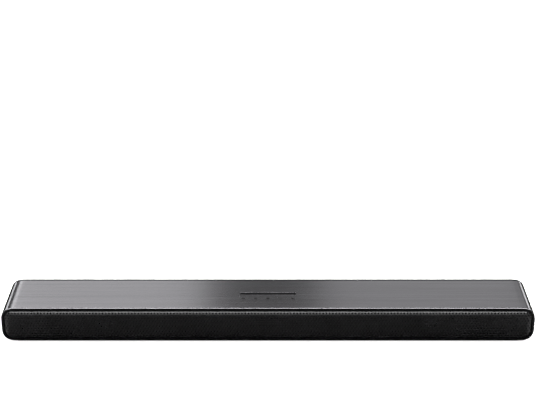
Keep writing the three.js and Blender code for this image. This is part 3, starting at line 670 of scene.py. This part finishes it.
def makeGrilleField(sizes):  # one hole and its neighbour in the next row, repeated over the flat sheet
    pitch, front = sizes["pitch"], sizes["front"]
    rowStep = pitch * math.sqrt(3) / 2
    tip = pitch / math.sqrt(3)
    centre = (-sizes["columns"] * pitch, front, middleZ - sizes["rows"] * rowStep)
    clearSelection()
    upright = (math.radians(90), 0, 0)
    bpy.ops.mesh.primitive_circle_add(vertices=12, radius=tip, location=centre, rotation=upright)
    field = settle("grille_pan")
    offTip = lambda place: round(
        math.degrees(math.atan2(place.x - centre[0], place.z - centre[2])) / 30
    ) % 2 == 1
    pick(field, "VERT", lambda place, normal: offTip(place))
    scaleAbout(centre, x=math.cos(math.radians(30)), z=math.cos(math.radians(30)))
    bpy.ops.mesh.primitive_circle_add(vertices=12, radius=sizes["hole"], location=centre, rotation=upright)
    bpy.ops.mesh.select_mode(type="EDGE")
    bpy.ops.mesh.select_all(action="SELECT")
    bpy.ops.mesh.bridge_edge_loops()
    bpy.ops.mesh.select_all(action="SELECT")
    bpy.ops.mesh.duplicate_move(TRANSFORM_OT_translate={"value": (pitch / 2, 0, rowStep)})
    clearSelection()
    useModifier(
        field, "ARRAY", count=2 * sizes["columns"] + 1, use_relative_offset=False, use_constant_offset=True,
        constant_offset_displace=(pitch, 0, 0),
    )
    useModifier(
        field, "ARRAY", count=sizes["rows"] + 1, use_relative_offset=False, use_constant_offset=True,
        constant_offset_displace=(0, 0, 2 * rowStep),
    )
    pick(field, "FACE", lambda middle, normal: True)
    bpy.ops.mesh.remove_doubles(threshold=0.00001)
    flatCorner = bar["corner"] - sizes["inset"] - sizes["roll"]

    def cellCentre(place):
        row = round((place.z - middleZ) / rowStep)
        shift = 0 if (row + sizes["rows"]) % 2 == 0 else pitch / 2
        column = round((place.x - shift) / pitch)
        return column * pitch + shift, middleZ + row * rowStep

    def outsideField(middle, normal):
        return outsideOutline(*cellCentre(middle), flatCorner) > sizes["fieldEdge"]

    pick(field, "FACE", outsideField)
    bpy.ops.mesh.delete(type="FACE")
    clearSelection()
    return field, cellCentre, flatCorner


def makeGrille():
    sizes = grilleSizes
    front, roll = sizes["front"], sizes["roll"]
    field, cellCentre, flatCorner = makeGrilleField(sizes)
    outerCorner = flatCorner + roll * math.pi / 2
    inset = bar["corner"] - outerCorner
    low = (-(bar["halfWidth"] - inset), front, bar["bottom"] + inset)
    high = (bar["halfWidth"] - inset, front + 0.01, bar["top"] - inset)
    edge = startBlock("grille_edge", low, high)
    roundEdges(edge, lambda middle, along: abs(along.y) > 0.99, outerCorner, 14)
    pick(edge, "VERT", lambda place, normal: place.y > front + 0.005)
    bpy.ops.mesh.delete(type="VERT")
    pick(edge, "FACE", lambda middle, normal: True)
    bpy.ops.mesh.delete(type="ONLY_FACE")
    pick(edge, "EDGE", lambda middle, along: abs(along.x) > 0.999)
    bpy.ops.mesh.subdivide(number_cuts=2 * sizes["columns"] - 8)
    pick(edge, "EDGE", lambda middle, along: abs(along.z) > 0.999)
    bpy.ops.mesh.subdivide(number_cuts=5)
    grille = joinPieces("grille_pan", edge, field)
    choose(grille)
    bpy.ops.object.mode_set(mode="EDIT")
    bpy.ops.mesh.select_mode(type="EDGE")
    bpy.ops.mesh.select_all(action="DESELECT")
    mesh = bmesh.from_edit_mesh(grille.data)
    for line in mesh.edges:
        middle = (line.verts[0].co + line.verts[1].co) / 2
        centreX, centreZ = cellCentre(middle)
        awayFromHole = math.hypot(middle.x - centreX, middle.z - centreZ) > sizes["hole"] + 0.0004
        line.select_set(line.is_wire or (line.is_boundary and awayFromHole))
    bmesh.update_edit_mesh(grille.data)
    bpy.ops.mesh.fill(use_beauty=True)
    bpy.ops.mesh.select_all(action="SELECT")
    bpy.ops.mesh.normals_make_consistent(inside=False)
    mesh = bmesh.from_edit_mesh(grille.data)
    if sum(face.normal.y for face in mesh.faces) > 0:
        bpy.ops.mesh.flip_normals()
    clearSelection()
    for vertex in grille.data.vertices:  # rolls the flat sheet's edge over
        x, z = vertex.co.x, vertex.co.z - middleZ
        baseX = max(-straightX, min(straightX, x))
        baseZ = max(-straightZ, min(straightZ, z))
        outside = math.hypot(x - baseX, z - baseZ)
        if outside > flatCorner:
            angle = (outside - flatCorner) / roll
            reach = (flatCorner + roll * math.sin(angle)) / outside
            vertex.co.x = baseX + (x - baseX) * reach
            vertex.co.z = middleZ + baseZ + (z - baseZ) * reach
            vertex.co.y = front + roll * (1 - math.cos(angle))
    pick(grille, "EDGE", lambda middle, along: middle.y > front + roll - 0.0001)
    push(y=sizes["back"])
    clearSelection()
    useModifier(grille, "SOLIDIFY", thickness=sizes["sheet"], offset=-1, use_even_offset=False)
    smooth(grille, 50, weighted=False)
    return grille


grille = makeGrille()
finishPiece(grille, housing, "grille_metal", grilleBlack, "front_grille")
print("grille made:", len(grille.data.polygons), "faces")


keySizes = {
    "places": {"volume_down": -0.0374, "source": -0.0187, "power": 0, "sound": 0.0187, "volume_up": 0.0374},
    "halfWidth": 0.00392,
    "front": -0.02007,
    "rear": -0.00823,
    "corner": 0.0003,
    "underside": 0.0539,
    "rimHeight": 0.00115,
    "rimWider": 0.0008,
    "stemBottom": 0.0510,
    "stemHalf": 0.0015,
    "dishInset": 0.0014,
    "dishDepth": 0.00003,
    "markShift": 0.0012,
}


def rampTop(y):
    return bar["top"] - controlSizes["drop"] * (y - controlSizes["front"]) / (
        controlSizes["rear"] - controlSizes["front"]
    )


def makeKey():
    sizes = keySizes
    half, front, rear = sizes["halfWidth"], sizes["front"], sizes["rear"]
    key = startBlock("key_cap", (-half, front, sizes["underside"]), (half, rear, rampTop(front)))
    roundEdges(key, lambda middle, along: abs(along.z) > 0.99, sizes["corner"], 4)
    pick(key, "FACE", lambda middle, normal: normal.z > 0.9)
    bpy.ops.mesh.inset(thickness=sizes["dishInset"])
    move(z=-sizes["dishDepth"])
    clearSelection()
    for vertex in key.data.vertices:  # the cap's top follows the ramp
        if vertex.co.z > sizes["underside"] + 0.001:
            vertex.co.z += rampTop(vertex.co.y) - rampTop(front)
    centre = (0, (front + rear) / 2, sizes["underside"])
    pick(key, "FACE", lambda middle, normal: normal.z < -0.9)
    push()
    scaleAbout(centre, x=1 + sizes["rimWider"] / half, y=1 + 2 * sizes["rimWider"] / (rear - front))
    push(z=-sizes["rimHeight"] + 0.00015)
    push()
    scaleAbout(centre, x=sizes["stemHalf"] / half, y=2 * sizes["stemHalf"] / (rear - front))
    push(z=sizes["stemBottom"] - sizes["underside"] + sizes["rimHeight"] - 0.00015)
    clearSelection()
    softenEdges(key, 0.00006, 2, 38)
    smooth(key, 40)
    return key


def flatBar(name, x0, x1, y0, y1):
    return startBlock(name, (x0, y0, 0), (x1, y1, 0.00008))


def flatRing(name, inner, outer, gap):  # a ring with a gap at its rear, gap in radians each way
    clearSelection()
    bpy.ops.mesh.primitive_circle_add(vertices=48, radius=outer, fill_type="NGON")
    ring = settle(name)
    pick(ring, "FACE", lambda middle, normal: True)
    bpy.ops.mesh.inset(thickness=outer - inner)
    bpy.ops.mesh.delete(type="FACE")
    if gap:
        pick(ring, "FACE", lambda middle, normal: abs(math.atan2(middle.x, middle.y)) < gap)
        bpy.ops.mesh.delete(type="FACE")
    pick(ring, "FACE", lambda middle, normal: True)
    push(z=0.00008)
    bpy.ops.mesh.select_all(action="SELECT")
    bpy.ops.mesh.normals_make_consistent(inside=False)
    clearSelection()
    return ring


def minusMark():
    return flatBar("volume_down_mark", -0.0022, 0.0022, -0.0010, 0.0010)


def plusMark():
    across = flatBar("plus_across", -0.0021, 0.0021, -0.0007, 0.0007)
    back = flatBar("plus_back", -0.0007, 0.0007, 0.0007, 0.0021)
    near = flatBar("plus_near", -0.0007, 0.0007, -0.0021, -0.0007)
    return joinPieces("volume_up_mark", across, back, near)


def sourceMark():
    screen = [
        flatBar("screen_left", -0.0022, -0.0012, -0.0014, 0.0014),
        flatBar("screen_right", 0.0012, 0.0022, -0.0014, 0.0014),
        flatBar("screen_near", -0.0022, 0.0022, -0.0023, -0.0014),
        flatBar("screen_far", -0.0022, 0.0022, 0.0014, 0.0023),
    ]
    shaft = flatBar("arrow_shaft", -0.0008, 0.0001, -0.0003, 0.0003)
    clearSelection()
    bpy.ops.mesh.primitive_circle_add(vertices=3, radius=0.0007, fill_type="NGON", location=(0.0004, 0, 0),
                                      rotation=(0, 0, math.radians(-90)))
    head = settle("arrow_head")
    pick(head, "FACE", lambda middle, normal: True)
    push(z=0.00008)
    bpy.ops.mesh.select_all(action="SELECT")
    bpy.ops.mesh.normals_make_consistent(inside=False)
    clearSelection()
    return joinPieces("source_mark", *screen, shaft, head)


def powerMark():
    ring = flatRing("power_ring", 0.0004, 0.0023, 0.3)
    stem = flatBar("power_stem", -0.0008, 0.0008, 0.0002, 0.0031)
    return joinPieces("power_mark", ring, stem)


def soundMark():
    bars = []
    for index, height in enumerate((0.0012, 0.0026, 0.0018, 0.0030)):
        left = -0.0017 + index * 0.0010
        bars.append(flatBar("sound_bar", left, left + 0.00045, -height / 2, height / 2))
    return joinPieces("sound_mark", *bars)


controlStrip = tidyCopy("control_panel", "control_ramp", 0)
closing = {"by": 0.00024, "above": 0.05605, "outsideX": 0.0425, "front": -0.0265, "rear": 0.0045}
for vertex in controlStrip.data.vertices:  # the ramp's edges close up to the opening's
    if vertex.co.z > closing["above"] and abs(vertex.co.x) > closing["outsideX"]:
        vertex.co.x += math.copysign(closing["by"], vertex.co.x)
    if vertex.co.z > closing["above"] and not closing["front"] < vertex.co.y < closing["rear"]:
        vertex.co.y += math.copysign(closing["by"], vertex.co.y - keySizes["front"])
finishPiece(controlStrip, housing, "brushed_metal", keyMetal, "control_panel")

firstKey = makeKey()
markMakers = {
    "volume_down": minusMark, "source": sourceMark, "power": powerMark, "sound": soundMark, "volume_up": plusMark,
}
markMiddle = (keySizes["front"] + keySizes["rear"]) / 2 + keySizes["markShift"]
rampTurn = -math.atan(controlSizes["drop"] / (controlSizes["rear"] - controlSizes["front"]))
for label, place in keySizes["places"].items():
    cap = copyPiece(firstKey, label + "_cap", x=place)
    finishPiece(cap, label + "_key", "brushed_metal", keyMetal, label + "_key")
    mark = markMakers[label]()
    choose(mark)
    mark.location = (place, markMiddle, rampTop(markMiddle) - keySizes["dishDepth"] + 0.00001)
    mark.rotation_euler = (rampTurn, 0, 0)
    bpy.ops.object.transform_apply(location=True, rotation=True, scale=True)
    finishPiece(mark, label + "_key", "black_plastic", inkDark)
bpy.data.objects.remove(firstKey)
print("controls made")


footSizes = {"half": (0.020, 0.007), "height": 0.0032, "places": {
    "front_left_foot": (-0.330, -0.02575), "front_right_foot": (0.330, -0.02575),
    "rear_left_foot": (-0.330, 0.03025), "rear_right_foot": (0.330, 0.03025),
}}


def makeFoot():
    halfX, halfY = footSizes["half"]
    foot = startBlock("foot_pad", (-halfX, -halfY, 0.00003), (halfX, halfY, footSizes["height"]))
    roundEdges(foot, lambda middle, along: abs(along.z) > 0.99, 0.0006, 3)
    pick(foot, "FACE", lambda middle, normal: normal.z < -0.9)
    bpy.ops.mesh.inset(thickness=0.0016)
    move(z=0.0005)
    clearSelection()
    softenEdges(foot, 0.0003, 3)
    smooth(foot)
    return foot


firstFoot = makeFoot()
for label, (x, y) in footSizes["places"].items():
    finishPiece(copyPiece(firstFoot, label + "_pad", x=x, y=y), housing, "soft_rubber", rubber, label)
bpy.data.objects.remove(firstFoot)

screwSizes = {
    "head": 0.003, "shank": 0.0015, "headFront": 0.04815, "headRear": 0.04915, "shankEnd": 0.03905, "z": 0.0112,
    "places": {"rear_left_screw": -0.255, "rear_middle_screw": 0, "rear_right_screw": 0.255},
}


def makeScrew():
    sizes = screwSizes
    z, face = sizes["z"], sizes["headRear"]
    screw = startRod("screw", sizes["head"], (0, sizes["headFront"], z), (0, face, z), "Y")
    roundEdges(screw, lambda middle, along: abs(middle.y - face) < tiny, 0.0004, 4)
    pick(screw, "FACE", lambda middle, normal: normal.y < -0.9)
    bpy.ops.mesh.inset(thickness=sizes["head"] - sizes["shank"])
    push(y=sizes["shankEnd"] - sizes["headFront"])
    clearSelection()
    upright = startBlock("slot_up", (-0.00035, face - 0.0007, z - 0.0014), (0.00035, face + 0.001, z + 0.0014))
    across = startBlock("slot_across", (-0.0014, face - 0.0007, z - 0.00035), (0.0014, face + 0.001, z + 0.00035))
    for slotTool in (upright, across):
        useModifier(screw, "BOOLEAN", operation="DIFFERENCE", object=slotTool, solver="EXACT")
        bpy.data.objects.remove(slotTool)
    smooth(screw, 40)
    return screw


firstScrew = makeScrew()
for label, x in screwSizes["places"].items():
    finishPiece(copyPiece(firstScrew, label + "_head", x=x), housing, "zinc_steel", zincSteel, label)
bpy.data.objects.remove(firstScrew)
print("feet and screws made")


softened = {
    "rear_panel": ("case_back", 0.00025, "black_plastic", caseBlack),
    "bottom_cover": ("case_floor", 0.00025, "black_plastic", caseBlack),
    "left_wall_hanger": ("left_hanger_plate", 0.0002, "zinc_steel", zincSteel),
    "right_wall_hanger": ("right_hanger_plate", 0.0002, "zinc_steel", zincSteel),
    "mains_inlet": ("mains_inlet_body", 0.00025, "black_plastic", caseBlack),
    "video_socket": ("video_socket_shell", 0.00015, "zinc_steel", zincSteel),
    "data_socket": ("data_socket_shell", 0.00015, "zinc_steel", zincSteel),
    "optical_socket": ("optical_socket_body", 0.0002, "black_plastic", caseBlack),
    "line_socket": ("line_socket_body", 0.0002, "black_plastic", caseBlack),
    "front_baffle": ("speaker_baffle", 0.0003, "dark_plastic", innerPlastic),
    "optical_shutter": ("optical_flap_plate", 0.00015, "dark_plastic", innerPlastic),
    "amplifier_heat_sink": ("finned_sink", 0.0002, "bare_aluminium", aluminium),
    "transformer": ("transformer_block", 0.0004, "copper_winding", winding),
    "mains_capacitor": ("capacitor_can", 0.0009, "printed_sleeve", sleeveBlue),
    "wireless_module": ("wireless_can", 0.0003, "zinc_steel", zincSteel),
    "status_display": ("display_window", 0.0003, "smoked_lens", smokedLens),
    "infrared_receiver": ("receiver_lens", 0.0004, "smoked_lens", smokedLens),
}
for side in ("left", "right"):
    softened.update({
        side + "_chamber_partition": (side + "_chamber_wall", 0.0003, "dark_plastic", innerPlastic),
        side + "_woofer_basket": (side + "_basket_frame", 0.0002, "black_plastic", caseBlack),
        side + "_woofer_magnet": (side + "_magnet_block", 0.0006, "ferrite", ferrite),
        side + "_tweeter_body": (side + "_tweeter_case", 0.0003, "black_plastic", caseBlack),
    })
for node, (name, width, slot, material) in softened.items():
    piece = tidyCopy(node, name, width)
    for vertex in piece.data.vertices:  # softened edges bulge past the rear plane by microns
        vertex.co.y = min(vertex.co.y, bar["rear"] - 0.00001)
    finishPiece(piece, nodes[node]["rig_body"], slot, material, node)
print("softened pieces made")


finishes = {
    conePaper: ["left_woofer_cone", "right_woofer_cone", "left_dust_cap", "right_dust_cap"],
    surroundRubber: ["left_woofer_surround", "right_woofer_surround"],
    silk: ["left_tweeter_dome", "right_tweeter_dome"],
    boardGreen: ["key_board", "main_board", "power_board", "display_board"],
    zincSteel: [label + "_switch" for label in keySizes["places"]],
    leadJacket: ["left_speaker_lead", "right_speaker_lead"],
}
for material, names in finishes.items():
    for name in names:
        nodes[name].data.materials.clear()
        nodes[name].data.materials.append(material)
for name, node in nodes.items():
    if not node.hide_render and not node.data.materials:
        print("no material on", name)
print("CAD pieces finished")


def makeStage():  # a white floor with painted reflections, dim ahead of the bar and grey past its ends, that glows for camera rays only so the bar's shadow pales
    clearSelection()
    bpy.ops.mesh.primitive_plane_add(size=24, location=(0, 2, 0))
    floor = settle("studio_floor")
    material, tree, shader = startMaterial("studio floor", Roughness=0.9, Specular_IOR_Level=0.0)
    cloud = addNode(tree, "ShaderNodeTexNoise", Vector=objectPlace(tree), Scale=3.0, Detail=2.0)
    shade = mixColors(tree, cloud.outputs["Fac"], (0.90, 0.90, 0.90, 1), (0.93, 0.93, 0.93, 1))
    path = tree.nodes.new("ShaderNodeLightPath")
    place = addNode(tree, "ShaderNodeSeparateXYZ", Vector=objectPlace(tree))
    ahead = spread(tree, place.outputs["Y"], -0.20, -0.06, 0.08, 0.02)
    pastEnds = spread(tree, addMath(tree, "ABSOLUTE", place.outputs["X"], 0), 0.405, 0.42, 0.0, 0.3)
    beside = addMath(tree, "MULTIPLY", pastEnds, spread(tree, place.outputs["Y"], -0.01, 0.02, 1.0, 0.0))
    mirrored = addMath(tree, "MAXIMUM", ahead, beside)
    gray = addNode(tree, "ShaderNodeCombineColor", Red=mirrored, Green=mirrored, Blue=mirrored).outputs["Color"]
    shade = mixColors(tree, path.outputs["Is Glossy Ray"], shade, gray)
    tree.links.new(shade, shader.inputs["Base Color"])
    shader.inputs["Emission Color"].default_value = (1, 1, 1, 1)
    glow = addMath(tree, "MULTIPLY", path.outputs["Is Camera Ray"], 0.8)
    tree.links.new(glow, shader.inputs["Emission Strength"])
    floor.data.materials.append(material)


def softbox(name, place, aim, width, height, power):
    light = bpy.data.lights.new(name, "AREA")
    light.shape = "RECTANGLE"
    light.size, light.size_y, light.energy = width, height, power
    box = bpy.data.objects.new(name, light)
    box.location = place
    box.rotation_euler = (Vector(aim) - Vector(place)).to_track_quat("-Z", "Y").to_euler()
    box.visible_camera = False
    bpy.context.scene.collection.objects.link(box)


def makeWorld(seen, around):
    world = bpy.data.worlds.new("studio")
    world.use_nodes = True
    tree = world.node_tree
    background = tree.nodes["Background"]
    path = tree.nodes.new("ShaderNodeLightPath")
    shade = mixColors(tree, path.outputs["Is Camera Ray"], (around, around, around, 1), (seen, seen, seen, 1))
    tree.links.new(shade, background.inputs["Color"])
    bpy.context.scene.world = world


makeStage()
softbox("front_top_box", (0, -2.2, 2.6), (0, 0, 0), 3.6, 1.4, 50)
softbox("overhead_strip", (0, 0.0, 2.4), (0, 0, 0), 4.4, 0.9, 145)
softbox("rear_left_card", (-0.735, 2.4, 1.36), (-0.735, 0, 0), 1.03, 1.0, 2.5)
softbox("left_glow_card", (-1.10, 2.38, 1.26), (-1.10, 0, 0), 0.24, 0.8, 0.5)
softbox("left_low_card", (-1.72, 2.38, 0.52), (-1.72, 0, 0), 0.3, 0.4, 0.95)
softbox("rear_right_card", (0.567, 2.4, 1.36), (0.567, 0, 0), 0.765, 1.0, 1.02)
softbox("right_dim_card", (1.225, 2.4, 1.2), (1.225, 0, 0), 0.55, 1.0, 0.5)
softbox("right_low_card", (1.72, 2.38, 0.52), (1.72, 0, 0), 0.3, 0.4, 1.0)
softbox("high_left_box", (-3.2, 0.8, 2.6), (0, 0.8, 0), 1.6, 1.6, 70)
softbox("high_right_box", (3.2, 0.8, 2.6), (0, 0.8, 0), 1.6, 1.6, 65)
makeWorld(1.0, 0.145)

cameraSizes = {"lens": 88.54, "sensor": 36, "place": (0, -1.7987, 1.0136), "tilt": math.radians(66.069)}
camera = bpy.data.cameras.new("camera")
camera.lens = cameraSizes["lens"]
camera.sensor_width = cameraSizes["sensor"]
eye = bpy.data.objects.new("camera", camera)
eye.location = cameraSizes["place"]
eye.rotation_euler = (cameraSizes["tilt"], 0, 0)
bpy.context.scene.collection.objects.link(eye)
bpy.context.scene.camera = eye
bpy.context.scene.view_settings.view_transform = "Standard"
print("stage, light and camera set")
